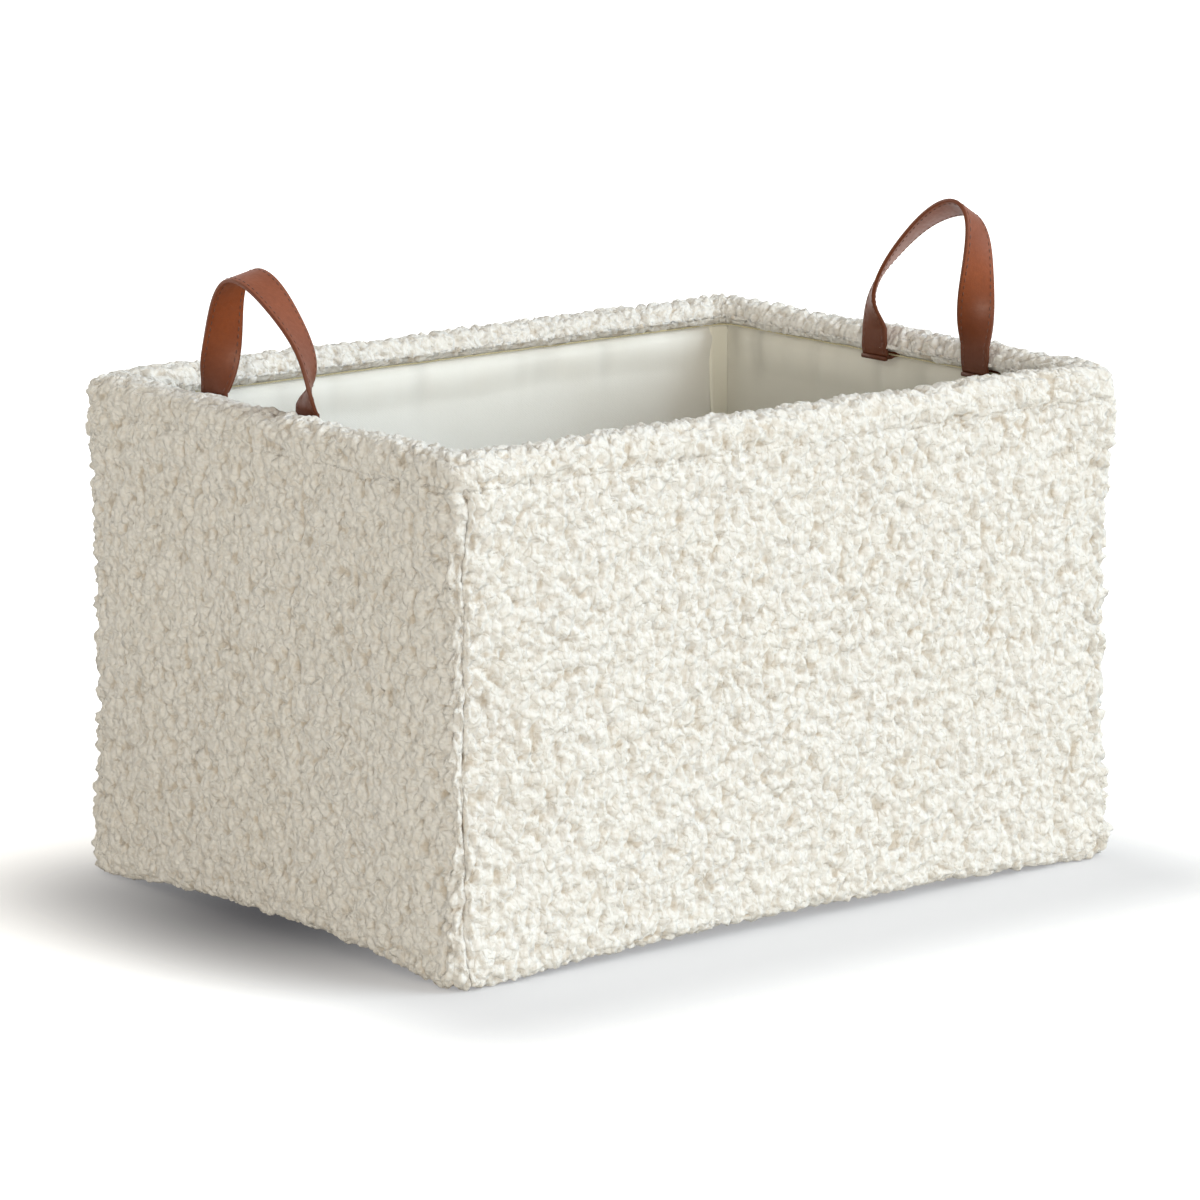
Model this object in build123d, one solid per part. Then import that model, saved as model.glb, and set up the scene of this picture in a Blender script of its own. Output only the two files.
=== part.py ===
"""A rectangular open storage bin in fleece over board, with two strap handles.

Millimetres, +Z up, origin at the middle of the underside. X runs along the
long walls and Y along the short walls, which carry the handles. Every wall is
a stack, from outside to inside: fleece panel, board, lining, and above the
cuff seam the inner leg of the rim band.
"""

import math
import os

from build123d import *

# ---- overall size ----------------------------------------------------------
length = 420.0  # outside, along X
width = 304.0  # outside, along Y
height = 252.0  # floor to the top of the rim
corner_radius = 13.0  # vertical corners, outside
hem_radius = 6.0  # lower edge of the wall panels

# ---- cloth and board -------------------------------------------------------
fleece = 9.0  # wall fleece, backing and pile
base_fleece = 7.0  # fleece under the base, pressed by the load
board = 3.0  # stiffener board
lining = 1.0  # cotton lining
ease = 0.3  # clearance between neighbouring pieces
corner_slack = 7.0  # how far the wall boards stop short of a corner seam

# ---- rim band --------------------------------------------------------------
band_drop = 17.0  # depth of the band outside, down to its topstitch
cuff_drop = 13.5  # depth of the band inside, down to the cuff seam
cuff_pile = 8.0  # thickness of the inner leg
crown = 9.0  # fleece over the top edge of the boards
crown_radius = 9.5  # rounding of both rim edges
cuff_radius = 6.0  # vertical corners of the cuff, inside
lining_tuck = 4.0  # how far the lining runs up behind the cuff

# ---- bound seams inside ----------------------------------------------------
tape_width = 12.0  # visible width of a folded binding tape
tape_cloth = 0.5  # tape cloth
seam_allowance = 9.0  # lining that the tape holds
tape_ease = 0.1  # between the tape and what it holds

# ---- handles ---------------------------------------------------------------
strap_width = 19.0
strap_thickness = 2.2
feet_spacing = 76.0  # middle to middle of the two feet
handle_shift = 30.0  # each handle sits this far left of its wall's middle, seen from outside
tail_length = 8.0  # strap end sewn in behind the cuff
loop_spans = 16  # lengths that each loop is made up of
# Guide points of the two loops, from the +Y foot to the -Y foot: along Y from
# the middle of the handle, up from the rim, outward from the feet, and how far
# the strap has turned there, in degrees.
left_guides = (
    (31.7, 21.5, -1.0, 66.0),
    (27.7, 44.5, 0.0, 90.0),
    (17.0, 60.0, 1.0, 104.0),
    (-2.1, 58.0, 1.0, 99.0),
    (-21.3, 43.5, 0.2, 79.0),
    (-37.2, 26.0, -1.5, 62.0),
    (-40.5, 10.0, 0.0, 44.0),
)
right_guides = (
    (39.6, 17.0, -2.6, 40.0),
    (25.2, 36.5, -2.0, 68.0),
    (6.3, 55.3, 0.1, 80.0),
    (-14.2, 67.6, 1.7, 110.0),
    (-32.1, 70.3, 2.0, 129.0),
    (-39.6, 53.6, 0.7, 96.0),
    (-38.3, 28.0, -0.2, 72.0),
)

# ---- places worked out from the sizes above --------------------------------
# Offsets are measured inward from the outside face of a wall.
board_offset = fleece + ease
lining_offset = board_offset + board + ease
cuff_offset = lining_offset + lining + ease
strap_offset = cuff_offset + cuff_pile + ease  # wall side of a strap that lies on the cuff
strap_face = strap_offset + strap_thickness  # inner side of that strap

band_bottom = height - band_drop
cuff_bottom = height - cuff_drop
board_top = height - crown
lining_top = min(cuff_bottom + lining_tuck, board_top)
board_bottom = base_fleece + ease
base_lining_bottom = board_bottom + board + ease
base_lining_top = base_lining_bottom + lining
tape_stack = 2 * (tape_cloth + tape_ease) + lining  # thickness of a bound seam
base_tape_bottom = base_lining_top + tape_ease
base_tape_top = base_tape_bottom + tape_width
corner_tape_bottom = base_tape_top + ease
corner_tape_top = cuff_bottom - ease
run_top = cuff_bottom - ease  # top of the strap where it passes under the cuff
rim_fold = height + 2 * ease  # height at which a strap folds outward over the rim

ON_FLOOR = (Align.CENTER, Align.CENTER, Align.MIN)


def block(x, y, z):
    """A box between two values on each axis, given in any order."""
    size = [abs(b - a) for a, b in (x, y, z)]
    low = [min(pair) for pair in (x, y, z)]
    return Pos(*low) * Box(*size, align=(Align.MIN,) * 3)


def sleeve(offset, bottom, top):
    """A solid inside the walls: the plan of the bin, set in by offset."""
    radius = max(corner_radius - offset, 0.0)
    long_side = length - 2 * offset
    short_side = width - 2 * offset
    plan = Rectangle(long_side, short_side)
    if radius > 0:
        plan = RectangleRounded(long_side, short_side, radius)
    return Pos(0, 0, bottom) * extrude(plan, top - bottom)


def at_height(shape, z):
    """The edges of a shape that lie in the level plane at z."""
    def is_level(edge):
        box = edge.bounding_box()
        return abs(box.min.Z - z) + abs(box.max.Z - z) < 1e-3

    return [edge for edge in shape.edges() if is_level(edge)]


def wall_wedge(side):
    """All space nearer to one wall than to its neighbours, cut on the corner mitres."""
    x, y = length / 2, width / 2
    inner = x - y  # the mitres of a short wall meet at this X
    reach = y - ease / 2
    front = Polyline((-x + ease, -y), (-inner, -ease), (inner, -ease), (x - ease, -y), close=True)
    right = Polyline((x, -reach), (x, reach), (x - reach, 0), close=True)
    plan = make_face(front if side in ("front", "back") else right)
    wedge = extrude(plan, height)
    turn = {"front": 0, "back": 180, "right": 0, "left": 180}[side]
    return Rot(0, 0, turn) * wedge


# ---- shell -----------------------------------------------------------------
def outer_panels():
    """Four fleece panels with mitred vertical seams and a rolled lower edge."""
    body = sleeve(0, 0, band_bottom - ease)
    body = fillet(at_height(body, 0), min(hem_radius, fleece * 0.9))
    ring = body - sleeve(fleece, 0, band_bottom)
    return {f"outer_{side}": ring & wall_wedge(side) for side in ("front", "back", "left", "right")}


def outer_base():
    """The fleece panel under the bin, sewn in between the wall panels."""
    return sleeve(fleece + ease, 0, base_fleece)


def tail_pocket(sign, foot_y):
    """The place in the cuff that a strap end presses into its pile."""
    outside = length / 2 - cuff_offset + ease
    inside = outside - strap_thickness - 2 * ease
    half = strap_width / 2 + ease
    return block((sign * inside, sign * outside), (foot_y - half, foot_y + half),
                 (cuff_bottom - ease, cuff_bottom + tail_length + ease))


def rim_band():
    """One fleece strip folded over the rim: band outside, crown, cuff inside."""
    outside = sleeve(0, band_bottom, height)
    outside = fillet(at_height(outside, height), crown_radius)
    inner_offset = cuff_offset + cuff_pile
    opening = RectangleRounded(length - 2 * inner_offset, width - 2 * inner_offset, cuff_radius)
    band = outside - Pos(0, 0, band_bottom) * extrude(opening, band_drop)
    inset = crown_radius + ease
    inner_rim = []
    for edge in at_height(band, height):
        middle = edge.center()
        if abs(middle.X) < length / 2 - inset and abs(middle.Y) < width / 2 - inset:
            inner_rim.append(edge)
    band = fillet(inner_rim, crown_radius)
    band -= sleeve(fleece, band_bottom, board_top + ease) - sleeve(cuff_offset, band_bottom, board_top + ease)
    band -= sleeve(cuff_offset, band_bottom, cuff_bottom)
    for sign in (-1, 1):
        for foot_y in feet_of(sign):
            band -= tail_pocket(sign, foot_y)
    return band


# ---- boards ----------------------------------------------------------------
def wall_board(side):
    """A stiffener that stands between the fleece and the lining of one wall."""
    level = (board_bottom, board_top)
    sign = -1 if side in ("front", "left") else 1
    if side in ("front", "back"):
        reach = length / 2 - board_offset - corner_slack
        outside = sign * (width / 2 - board_offset)
        return block((-reach, reach), (outside, outside - sign * board), level)
    reach = width / 2 - board_offset - corner_slack
    outside = sign * (length / 2 - board_offset)
    return block((outside, outside - sign * board), (-reach, reach), level)


def base_board():
    """The board that keeps the base flat, between the wall boards."""
    inset = board_offset + board + ease
    return Pos(0, 0, board_bottom) * Box(length - 2 * inset, width - 2 * inset, board, align=ON_FLOOR)


# ---- lining ----------------------------------------------------------------
def long_lining(sign):
    """The lining of a long wall, a plain sheet between the short walls' linings."""
    reach = length / 2 - lining_offset - lining - ease
    faces = [sign * (width / 2 - o) for o in (lining_offset, lining_offset + lining)]
    return block((-reach, reach), faces, (base_lining_bottom, lining_top))


def short_lining(sign):
    """The lining of a short wall, whose two edges turn in along the long walls."""
    face = length / 2 - lining_offset
    reach = width / 2 - lining_offset - lining - ease
    sheet = block((sign * (face - lining), sign * face), (-reach, reach), (base_lining_bottom, lining_top))
    turn = reach - tape_cloth - tape_ease
    edge = face - lining - ease - tape_ease
    for side in (-1, 1):
        sheet += block((sign * (edge - seam_allowance), sign * face), (side * turn, side * (turn - lining)),
                       (corner_tape_bottom, corner_tape_top))
    return sheet


def base_lining():
    """The lining of the base, a shallow tray whose edges stand up in the base tape."""
    inset = lining_offset + lining + ease
    stand = inset + tape_cloth + tape_ease
    tray = Pos(0, 0, base_lining_bottom) * Box(length - 2 * stand, width - 2 * stand,
                                               lining + seam_allowance, align=ON_FLOOR)
    hollow = Box(length - 2 * (stand + lining), width - 2 * (stand + lining), seam_allowance, align=ON_FLOOR)
    return tray - Pos(0, 0, base_lining_top) * hollow


# ---- binding tapes ---------------------------------------------------------
def corner_tape(sign_x, sign_y):
    """A tape folded over the lining edge in a corner, lying along the long wall."""
    corner_x = length / 2 - lining_offset - lining - ease
    wall_y = width / 2 - lining_offset - lining - ease
    level = (corner_tape_bottom, corner_tape_top)
    tape = block((sign_x * corner_x, sign_x * (corner_x - tape_width)),
                 (sign_y * wall_y, sign_y * (wall_y - tape_stack)), level)
    slot = block((sign_x * corner_x, sign_x * (corner_x - tape_width + tape_cloth + tape_ease)),
                 (sign_y * (wall_y - tape_cloth), sign_y * (wall_y - tape_stack + tape_cloth)), level)
    return tape - slot


def base_tape():
    """The tape folded over the upstanding edge of the base lining, all round."""
    inset = lining_offset + lining + ease

    def frame(outer, inner, bottom, top):
        solid = Box(length - 2 * outer, width - 2 * outer, top - bottom, align=ON_FLOOR)
        hole = Box(length - 2 * inner, width - 2 * inner, top - bottom, align=ON_FLOOR)
        return Pos(0, 0, bottom) * (solid - hole)

    tape = frame(inset, inset + tape_stack, base_tape_bottom, base_tape_top)
    slot_top = base_lining_top + seam_allowance + tape_ease
    return tape - frame(inset + tape_cloth, inset + tape_stack - tape_cloth, base_tape_bottom, slot_top)


# ---- handles ---------------------------------------------------------------
def feet_of(sign):
    """Where the two feet of the handle on the wall at sign * X are, along Y."""
    middle = -sign * handle_shift
    return middle - feet_spacing / 2, middle + feet_spacing / 2


def strap_tails(sign):
    """The sewn ends: up behind the cuff, then under its edge to the inner face."""
    outer = length / 2 - cuff_offset
    front = length / 2 - strap_face + ease
    run_bottom = run_top - strap_thickness
    ends = []
    for foot_y in feet_of(sign):
        across = (foot_y - strap_width / 2, foot_y + strap_width / 2)
        end = block((sign * (outer - strap_thickness), sign * outer), across,
                    (run_bottom, cuff_bottom + tail_length))
        end += block((sign * front, sign * outer), across, (run_bottom, run_top))
        ends.append(end)
    return Compound(ends)


def strap_feet(sign):
    """The two lengths of strap that lie on the cuff, from its seam to the rim."""
    faces = [sign * (length / 2 - o) for o in (strap_offset, strap_face)]
    feet = []
    for foot_y in feet_of(sign):
        across = (foot_y - strap_width / 2, foot_y + strap_width / 2)
        feet.append(block(faces, across, (cuff_bottom, rim_fold - ease / 2)))
    return Compound(feet)


def guided(points, share):
    """A place on the smooth curve that starts and ends at the outer points."""
    spans = len(points) - 1
    span = min(int(share * spans), spans - 1)
    f = share * spans - span
    before = [2 * a - b for a, b in zip(points[0], points[1])]
    after = [2 * a - b for a, b in zip(points[-1], points[-2])]
    near = [before, *points, after][span:span + 4]
    pull = ((1 - f) ** 3, 3 * f ** 3 - 6 * f ** 2 + 4, -3 * f ** 3 + 3 * f ** 2 + 3 * f + 1, f ** 3)
    return [sum(p * point[axis] for p, point in zip(pull, near)) / 6 for axis in range(len(points[0]))]


def strap_loop(sign, guides):
    """The free loop: a flat strap that turns its face up as it arches over.

    Its middle runs from the +Y foot to the -Y foot. At the feet its width lies
    along the wall, and on the way it turns about its own middle line.
    """
    feet_x = length / 2 - (strap_offset + strap_face) / 2
    bottom = rim_fold + ease / 2
    reach = feet_spacing / 2
    points = [(reach, 0.0, 0.0, 0.0), *guides, (-reach, 0.0, 0.0, 0.0)]

    def middle_at(share):
        y, up, out, _ = guided(points, share)
        return Vector(sign * (feet_x + out), -sign * handle_shift + y, bottom + up)

    sections = []
    for i in range(loop_spans + 1):
        share = i / loop_spans
        along = (middle_at(min(share + 1e-3, 1.0)) - middle_at(max(share - 1e-3, 0.0))).normalized()
        if i == 0:
            along = Vector(0, 0, 1)
        if i == loop_spans:
            along = Vector(0, 0, -1)
        inward = Vector(1, 0, 0).cross(along).normalized()
        turned = math.radians(guided(points, share)[3])
        crosswise = inward * math.cos(turned) + Vector(-sign, 0, 0) * math.sin(turned)
        crosswise = (crosswise - along * crosswise.dot(along)).normalized()
        plane = Plane(origin=middle_at(share), x_dir=crosswise, z_dir=along)
        sections.append(plane * Rectangle(strap_width, strap_thickness))
    return loft(sections, ruled=True)


# ---- all pieces ------------------------------------------------------------
def build():
    pieces = outer_panels()
    pieces["outer_base"] = outer_base()
    pieces["rim_band"] = rim_band()
    for side in ("front", "back", "left", "right"):
        pieces[f"board_{side}"] = wall_board(side)
    pieces["board_base"] = base_board()
    pieces["lining_front"] = long_lining(-1)
    pieces["lining_back"] = long_lining(1)
    pieces["lining_left"] = short_lining(-1)
    pieces["lining_right"] = short_lining(1)
    pieces["lining_base"] = base_lining()
    for name_y, sign_y in (("front", -1), ("back", 1)):
        for name_x, sign_x in (("left", -1), ("right", 1)):
            pieces[f"corner_tape_{name_y}_{name_x}"] = corner_tape(sign_x, sign_y)
    pieces["base_tape"] = base_tape()
    for side, sign, guides in (("left", -1, left_guides), ("right", 1, right_guides)):
        pieces[f"{side}_handle_tails"] = strap_tails(sign)
        pieces[f"{side}_handle_feet"] = strap_feet(sign)
        pieces[f"{side}_handle_loop"] = strap_loop(sign, guides)
    return pieces


os.makedirs("parts", exist_ok=True)
for name, shape in build().items():
    export_step(shape, f"parts/{name}.step")
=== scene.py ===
import math

import bpy
import numpy as np
from mathutils import Matrix, Vector


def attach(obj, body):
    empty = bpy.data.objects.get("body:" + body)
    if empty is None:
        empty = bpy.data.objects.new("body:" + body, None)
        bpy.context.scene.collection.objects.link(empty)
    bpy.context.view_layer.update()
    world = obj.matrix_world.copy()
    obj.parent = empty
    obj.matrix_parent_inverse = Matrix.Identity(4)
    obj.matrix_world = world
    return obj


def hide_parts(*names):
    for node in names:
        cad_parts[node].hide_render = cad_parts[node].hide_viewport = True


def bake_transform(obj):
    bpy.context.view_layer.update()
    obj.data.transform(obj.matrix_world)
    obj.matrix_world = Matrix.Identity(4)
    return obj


# Looks for an open storage bin in fleece over board, with two strap handles.
# Sizes here are in millimetres. X runs along the long walls, Y along the short
# walls, Z up from the floor. Offsets are measured inward from the outside face.

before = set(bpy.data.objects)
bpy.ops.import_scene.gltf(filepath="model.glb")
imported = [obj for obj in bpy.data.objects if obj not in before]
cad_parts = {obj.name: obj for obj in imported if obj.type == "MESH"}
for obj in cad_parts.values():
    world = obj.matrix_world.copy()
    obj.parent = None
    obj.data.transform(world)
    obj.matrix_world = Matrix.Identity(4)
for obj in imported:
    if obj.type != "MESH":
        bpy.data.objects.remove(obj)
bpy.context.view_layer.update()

# ---- sizes, as in the part ---------------------------------------------------
LENGTH, WIDTH, HEIGHT = 420.0, 304.0, 252.0
CORNER = 13.0  # vertical corners, outside
FLEECE = 9.0  # wall fleece with its pile
BAND_BOTTOM = 235.0  # topstitch of the rim band, outside
CUFF_BOTTOM = 238.5  # cuff seam, inside
CUFF_OFFSET, CUFF_FACE = 13.9, 21.9  # back and face of the cuff
CUFF_CORNER = 6.0
CROWN = 9.5  # rounding of both rim edges
BOARD_TOP = 243.0
LINING_OFFSET, LINING = 12.6, 1.0
BASE_LINING = 10.6
STRAP_MIDDLE = 23.3
STRAP_WIDTH, STRAP_THICKNESS = 19.0, 2.2
FEET_SPACING = 76.0
HANDLE_SHIFT = 30.0
LOOP_BOTTOM = 252.75
SIDES = {"left": -1, "right": 1}
GUIDES = {  # along Y from the middle of the handle, up from the rim, outward, turn in degrees
    "left": (
        (38.0, 0.0, 0.0, 4.0), (31.7, 21.5, -1.0, 66.0), (27.7, 44.5, 0.0, 90.0),
        (17.0, 60.0, 1.0, 104.0), (-2.1, 58.0, 1.0, 99.0), (-21.3, 43.5, 0.2, 79.0),
        (-37.2, 26.0, -1.5, 62.0), (-40.5, 10.0, 0.0, 44.0), (-38.0, 0.0, 0.0, 4.0)),
    "right": (
        (38.0, 0.0, 0.0, 4.0), (39.6, 17.0, -2.6, 40.0), (25.2, 36.5, -2.0, 68.0),
        (6.3, 55.3, 0.1, 80.0), (-14.2, 67.6, 1.7, 110.0), (-32.1, 70.3, 2.0, 129.0),
        (-39.6, 53.6, 0.7, 96.0), (-38.3, 28.0, -0.2, 72.0), (-38.0, 0.0, 0.0, 4.0)),
}

# ---- plan of the bin ------------------------------------------------------------
ARC = CORNER * math.pi / 2
LONG, SHORT = LENGTH - 2 * CORNER, WIDTH - 2 * CORNER
AROUND = 2 * (LONG + SHORT) + 4 * ARC
SEAM_SHIFT = 4.5  # each corner seam lies this far past the middle of its corner


def plan(s, offset):
    """Place and outward direction at distance s round the bin, on a line set in by offset.

    s is measured along the outside face, from the left end of the front wall.
    """
    s = np.mod(s, AROUND)
    radius = np.clip(CORNER + (CUFF_CORNER - CORNER) * offset / CUFF_FACE, 1.0, None)
    x, y = LENGTH / 2 - offset - radius, WIDTH / 2 - offset - radius
    place = np.zeros(np.broadcast(s, offset).shape + (2,))
    out = np.zeros_like(place)
    start = 0.0
    corners = [(1, -1), (1, 1), (-1, 1), (-1, -1)]
    for k, (run, (cx, cy)) in enumerate(zip((LONG, SHORT, LONG, SHORT), corners)):
        facing = -math.pi / 2 + k * math.pi / 2
        t = (s - start) / run
        on = np.broadcast_to((t >= 0) & (t <= 1), place.shape[:-1])
        nx, ny = math.cos(facing), math.sin(facing)
        half = x if k % 2 == 0 else y
        deep = (y if k % 2 == 0 else x) + radius
        px = nx * deep - ny * half * (2 * t - 1)
        py = ny * deep + nx * half * (2 * t - 1)
        place[..., 0] = np.where(on, px, place[..., 0])
        place[..., 1] = np.where(on, py, place[..., 1])
        out[..., 0] = np.where(on, nx, out[..., 0])
        out[..., 1] = np.where(on, ny, out[..., 1])
        start += run
        t = (s - start) / ARC
        on = np.broadcast_to((t > 0) & (t < 1), place.shape[:-1])
        angle = facing + t * math.pi / 2
        place[..., 0] = np.where(on, cx * x + radius * np.cos(angle), place[..., 0])
        place[..., 1] = np.where(on, cy * y + radius * np.sin(angle), place[..., 1])
        out[..., 0] = np.where(on, np.cos(angle), out[..., 0])
        out[..., 1] = np.where(on, np.sin(angle), out[..., 1])
        start += ARC
    return place, out


def corner_middles():
    """Distance round the bin of the middle of each corner: front right, back right, back left, front left."""
    middles, start = [], 0.0
    for run in (LONG, SHORT, LONG, SHORT):
        start += run
        middles.append(start + ARC / 2)
        start += ARC
    return middles


def to_corner(s):
    """Distance from the nearest corner's middle."""
    gaps = [np.abs(np.mod(s - m + AROUND / 2, AROUND) - AROUND / 2) for m in corner_middles()]
    return np.min(gaps, axis=0)


# ---- noise and clumps ------------------------------------------------------------
def chance(ix, iy, k):
    """The same number from 0 to 1 each run for a cell and a key."""
    n = (ix.astype(np.int64) * 374761393 + iy.astype(np.int64) * 668265263 + k * 2147001325) & 0xFFFFFFFF
    n = ((n ^ (n >> 13)) * 1274126177) & 0xFFFFFFFF
    n = ((n ^ (n >> 16)) * 2246822519) & 0xFFFFFFFF
    return ((n ^ (n >> 15)) & 0xFFFFFF) / 0xFFFFFF


def ease(t):
    """A smooth step from 0 to 1."""
    t = np.clip(t, 0.0, 1.0)
    return t * t * (3 - 2 * t)


def bell(x, reach):
    """1 at zero, falling off smoothly on both sides."""
    return np.exp(-((x / reach) ** 2))


def noise(x, y, cell, k):
    """Smooth noise from -1 to 1."""
    x, y = x / cell, y / cell
    ix, iy = np.floor(x), np.floor(y)
    fx, fy = ease(x - ix), ease(y - iy)
    low = chance(ix, iy, k) * (1 - fx) + chance(ix + 1, iy, k) * fx
    high = chance(ix, iy + 1, k) * (1 - fx) + chance(ix + 1, iy + 1, k) * fx
    return 2 * (low * (1 - fy) + high * fy) - 1


def clumps(x, y, cell, k, period=None, sharp=9.0):
    """Pile that has matted into tufts: 1 at the top of a tuft, about 0 in the gaps."""
    gx, gy = x / cell, y / cell
    ix, iy = np.floor(gx), np.floor(gy)
    total = np.zeros(np.broadcast(x, y).shape)
    for dx in (-2, -1, 0, 1, 2):
        for dy in (-2, -1, 0, 1, 2):
            cx, cy = ix + dx, iy + dy
            kx = np.mod(cx, period) if period else cx
            px = cx + 0.5 + 0.8 * (chance(kx, cy, k) - 0.5)
            py = cy + 0.5 + 0.8 * (chance(kx, cy, k + 1) - 0.5)
            lean = math.pi * chance(kx, cy, k + 2)
            stretch = 1.0 + 0.9 * chance(kx, cy, k + 3)
            size = 0.62 + 0.38 * chance(kx, cy, k + 4)
            tall = 0.55 + 0.45 * chance(kx, cy, k + 5)
            ax = (gx - px) * np.cos(lean) + (gy - py) * np.sin(lean)
            ay = (gy - py) * np.cos(lean) - (gx - px) * np.sin(lean)
            far = (ax * ax / stretch + ay * ay * stretch) / (size * size)
            total += np.exp(sharp * (tall - far))
    return np.log(total + 1.0) / sharp


BIG, SMALL = 6.0, 3.1  # sizes of the large and the small tufts
BIG_ROUND, SMALL_ROUND = round(AROUND / BIG), round(AROUND / SMALL)  # tufts round the bin
PILE_DEPTH = 2.7  # how far the deepest gaps lie under the solid's face
WALL_PILE, BASE_PILE = 900, 1300  # noise keys


def pile(s, v, k):
    """Height of the pile, and how much painted shade each point gets for lying low between tufts, at distances s
    and v.
    """
    ws = s + 2.0 * noise(s, v, 6.0, k + 50) + 0.8 * noise(s, v, 2.6, k + 51)
    wv = v + 2.4 * noise(s, v, 6.0, k + 52) + 0.8 * noise(s, v, 2.6, k + 53)
    big = clumps(ws * BIG_ROUND * BIG / AROUND, wv * 0.82, BIG, k, BIG_ROUND, 13.0)
    small = clumps(ws * SMALL_ROUND * SMALL / AROUND, wv * 0.9, SMALL, k + 10, SMALL_ROUND, 9.0)
    patch = noise(s, v, 30.0, k + 54)
    height = 2.9 * big + 1.6 * small + 0.7 * patch
    # painted shade: how far the pile's colour goes toward the warm colour low between the tufts
    gap = 0.9 * ease((0.42 - big) / 0.34) + 0.3 * ease((0.4 - small) / 0.4)
    return height - PILE_DEPTH, gap


# ---- meshes -------------------------------------------------------------------------
def make(name, points, groups, **values):
    """A smooth mesh object from points in millimetres, groups of equal faces and values per point."""
    mesh = bpy.data.meshes.new(name)
    points = np.asarray(points, np.float32).reshape(-1, 3) * 0.001
    loops = np.concatenate([np.asarray(g, np.int32).ravel() for g in groups])
    sizes = np.concatenate([np.full(len(g), len(g[0]), np.int32) for g in groups])
    mesh.vertices.add(len(points))
    mesh.vertices.foreach_set("co", points.ravel())
    mesh.loops.add(len(loops))
    mesh.loops.foreach_set("vertex_index", loops)
    mesh.polygons.add(len(sizes))
    starts = np.concatenate([[0], np.cumsum(sizes)[:-1]]).astype(np.int32)
    mesh.polygons.foreach_set("loop_start", starts)
    mesh.polygons.foreach_set("loop_total", sizes)
    mesh.update(calc_edges=True)
    mesh.polygons.foreach_set("use_smooth", np.ones(len(sizes), bool))
    for key, value in values.items():
        attribute = mesh.attributes.new(key, "FLOAT", "POINT")
        attribute.data.foreach_set("value", np.asarray(value, np.float32).ravel())
    mesh.validate()
    piece = bpy.data.objects.new(name, mesh)
    bpy.context.scene.collection.objects.link(piece)
    return piece


def swept(name, sections, closed=False, **values):
    """A closed skin over a row of closed outlines, given as (outline, point, 3)."""
    sections = np.asarray(sections, float)
    n, m = sections.shape[:2]
    here = np.arange(n if closed else n - 1)[:, None]
    ahead = (here + 1) % n
    j = np.arange(m)[None, :]
    after = (j + 1) % m
    faces = [np.stack([here * m + j, ahead * m + j, ahead * m + after, here * m + after], axis=-1).reshape(-1, 4)]
    if not closed:
        faces.append(np.arange(m)[None, :])
        faces.append(((n - 1) * m + np.arange(m)[::-1])[None, :])
    return make(name, sections, faces, **values)


def distances(points):
    """Distance along a polyline to each of its points."""
    return np.concatenate([[0], np.cumsum(np.linalg.norm(np.diff(points, axis=0), axis=1))])


def between(at, lengths, points):
    """Points at distances at along a polyline whose points lie at distances lengths."""
    return np.stack([np.interp(at, lengths, points[:, k]) for k in range(points.shape[1])], axis=1)


def units(vectors):
    """Rows of vectors made one long."""
    return vectors / np.linalg.norm(vectors, axis=1)[:, None]


def along(points, step):
    """Points spaced evenly by about step along a polyline, and the distance to each."""
    points = np.asarray(points, float)
    lengths = distances(points)
    count = max(int(round(lengths[-1] / step)), 2)
    at = np.linspace(0, lengths[-1], count + 1)
    return between(at, lengths, points), at


def arc(cx, cz, radius, start, end, steps=24):
    """Points on an arc in the (offset, height) plane, angles in degrees."""
    angles = np.radians(np.linspace(start, end, steps))
    return [(cx + radius * math.cos(a), cz + radius * math.sin(a)) for a in angles]


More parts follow.
